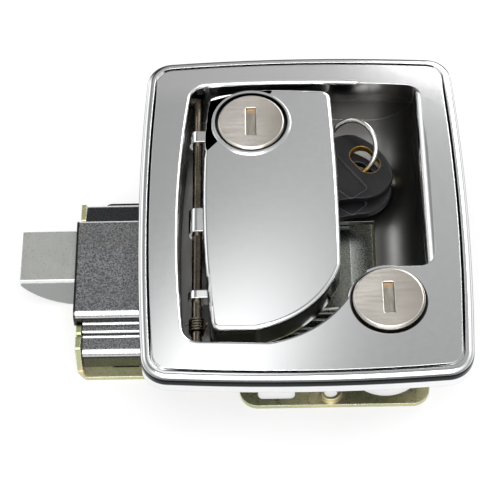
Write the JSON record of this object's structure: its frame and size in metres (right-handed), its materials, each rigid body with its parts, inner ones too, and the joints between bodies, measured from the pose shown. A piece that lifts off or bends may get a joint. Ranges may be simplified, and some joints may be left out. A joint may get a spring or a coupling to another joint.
{
  "type": "trailer entry door latch",
  "caption": "Flush paddle latch for an entry door: chrome face plate with finger pocket, sprung slam bolt, separate key-turned deadbolt and two keys on a ring.",
  "frame": {"origin": "on the rear plate's back face, straight behind the middle of the face plate", "axes": "+Z out of the face plate towards the user, +Y up the door, +X away from the bolts' ends"},
  "size_m": [0.1352, 0.117, 0.0374],
  "materials": {
    "bezel": "bright plated die casting",
    "door_gasket": "closed-cell foam",
    "hinge_pin": "plain",
    "paddle": "bright plated die casting",
    "paddle_arm": "zinc plated",
    "paddle_arm_screws": "zinc plated",
    "paddle_spring": "spring wire",
    "lock_body": "plated die casting",
    "lock_plug": "satin nickel",
    "shutter": "satin",
    "lock_small": "zinc plated",
    "rear_plate": "yellow zinc plated",
    "bolt_housing": "bright zinc plated",
    "bolt": "zinc plated",
    "bolt_slide": "zinc plated",
    "rivets": "zinc plated",
    "bolt_spring": "spring wire",
    "deadbolt": "zinc plated",
    "key_head": "moulded",
    "key_blade": "nickel-washed brass",
    "key_ring": "nickel wire"
  },
  "bodies": {
    "chassis": {"bezel": "bezel", "door_gasket": "door_gasket", "hinge_pin": "hinge_pin", "deadbolt_lock_body": "lock_body", "deadbolt_lock_clip": "lock_small", "rear_plate": "rear_plate", "chassis_screws": "rivets", "bolt_housing": "bolt_housing", "housing_rivets": "rivets", "deadbolt_bridge": "lock_small", "bridge_rivet": "rivets", "bolt_spring": "bolt_spring", "paddle_spring": "paddle_spring", "upper_key_head": "key_head", "upper_key_blade": "key_blade", "lower_key_head": "key_head", "lower_key_blade": "key_blade", "key_ring": "key_ring"},
    "paddle": {"paddle": "paddle", "paddle_arm": "paddle_arm", "paddle_arm_screws": "paddle_arm_screws", "paddle_lock_body": "lock_body", "paddle_lock_clip": "lock_small"},
    "paddle_plug": {"paddle_lock_plug": "lock_plug", "paddle_lock_shutter": "shutter", "paddle_lock_cam": "lock_small", "paddle_cam_screw": "lock_small"},
    "deadbolt_plug": {"deadbolt_lock_plug": "lock_plug", "deadbolt_lock_shutter": "shutter", "deadbolt_lock_cam": "lock_small", "deadbolt_cam_screw": "lock_small"},
    "bolt": {"latch_bolt": "bolt", "bolt_slide": "bolt_slide", "slide_rivets": "rivets"},
    "deadbolt": {"deadbolt": "deadbolt"}
  },
  "joints": [
    {"name": "paddle_pull", "type": "hinge", "parent": "chassis", "child": "paddle", "pos_m": [-0.0317, 0, 0.028], "axis": [0, -1, 0], "range_deg": [0, 38], "stiffness_Nm_per_rad": 0.12, "springref_deg": -20.05, "deforming": ["paddle_spring"]},
    {"name": "bolt_retract", "type": "slide", "parent": "chassis", "child": "bolt", "axis": [1, 0, 0], "range_m": [0, 0.0132], "deforming": ["bolt_spring"]},
    {"name": "paddle_key_turn", "type": "hinge", "parent": "paddle", "child": "paddle_plug", "pos_m": [-0.0151, 0.0328, 0.03], "axis": [0, 0, 1], "range_deg": [0, 90]},
    {"name": "deadbolt_key_turn", "type": "hinge", "parent": "chassis", "child": "deadbolt_plug", "pos_m": [0.0239, -0.0324, 0.03], "axis": [0, 0, 1], "range_deg": [0, 90]},
    {"name": "deadbolt_throw", "type": "slide", "parent": "chassis", "child": "deadbolt", "axis": [-1, 0, 0], "range_m": [0, 0.01131]}
  ],
  "couplings": [
    {"joint": "bolt_retract", "follows": "paddle_pull", "m_per_rad": 0.0199},
    {"joint": "deadbolt_throw", "follows": "deadbolt_key_turn", "m_per_rad": 0.0072025}
  ]
}
